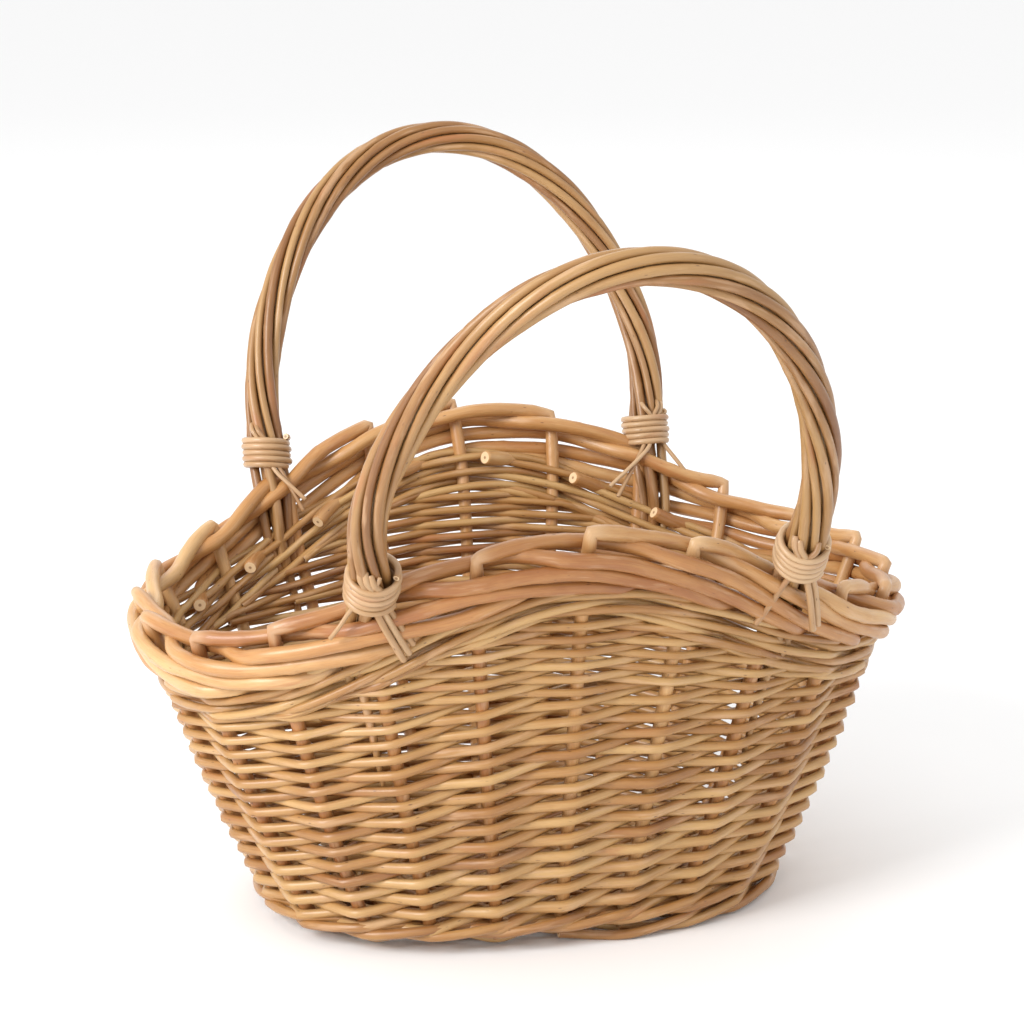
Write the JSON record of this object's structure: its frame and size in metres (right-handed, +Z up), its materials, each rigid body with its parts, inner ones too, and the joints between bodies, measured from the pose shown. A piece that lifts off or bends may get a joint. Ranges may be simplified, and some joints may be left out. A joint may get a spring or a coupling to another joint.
{
  "type": "woven market basket",
  "caption": "Oval willow shopping basket with flared woven walls, an arched rolled border and two fixed roped bow handles.",
  "frame": {"origin": "centre of the oval underside, at the height of the surface that the basket stands on", "axes": "+X along the long axis of the oval, -Y to the front long side, +Z up. The handles lean out over the long sides, so the whole extent along Y is 5 mm more than the one along X, and the height is the least of the three"},
  "size_m": [0.4106, 0.4159, 0.3834],
  "materials": {
    "weaver_willow": "satin peeled willow",
    "stake_willow": "satin peeled willow",
    "handle_willow": "satin peeled willow, lightly polished by handling",
    "binding_willow": "satin split willow strip",
    "base_willow": "satin peeled willow"
  },
  "bodies": {
    "root": {"stake_01": "stake_willow", "stake_02": "stake_willow", "stake_03": "stake_willow", "stake_04": "stake_willow", "stake_05": "stake_willow", "stake_06": "stake_willow", "stake_07": "stake_willow", "stake_08": "stake_willow", "stake_09": "stake_willow", "stake_10": "stake_willow", "stake_11": "stake_willow", "stake_12": "stake_willow", "stake_13": "stake_willow", "stake_14": "stake_willow", "stake_15": "stake_willow", "stake_16": "stake_willow", "stake_17": "stake_willow", "stake_18": "stake_willow", "stake_19": "stake_willow", "stake_20": "stake_willow", "stake_21": "stake_willow", "stake_22": "stake_willow", "base_cross_stick_1": "base_willow", "base_cross_stick_2": "base_willow", "base_cross_stick_3": "base_willow", "base_cross_stick_4": "base_willow", "base_cross_stick_5": "base_willow", "base_cross_stick_6": "base_willow", "base_long_stick_1": "base_willow", "base_long_stick_2": "base_willow", "base_long_stick_3": "base_willow", "base_weave": "weaver_willow", "foot_wale": "weaver_willow", "side_weave": "weaver_willow", "arch_weave_front": "weaver_willow", "arch_weave_back": "weaver_willow", "top_weave": "weaver_willow", "handle_front_core": "handle_willow", "handle_back_core": "handle_willow", "handle_front_strand_1": "handle_willow", "handle_front_strand_2": "handle_willow", "handle_front_strand_3": "handle_willow", "handle_front_strand_4": "handle_willow", "handle_front_strand_5": "handle_willow", "handle_front_strand_6": "handle_willow", "handle_front_strand_7": "handle_willow", "handle_front_strand_8": "handle_willow", "handle_back_strand_1": "handle_willow", "handle_back_strand_2": "handle_willow", "handle_back_strand_3": "handle_willow", "handle_back_strand_4": "handle_willow", "handle_back_strand_5": "handle_willow", "handle_back_strand_6": "handle_willow", "handle_back_strand_7": "handle_willow", "handle_back_strand_8": "handle_willow", "binding_front_left": "binding_willow", "binding_front_right": "binding_willow", "binding_back_left": "binding_willow", "binding_back_right": "binding_willow"}
  },
  "joints": []
}
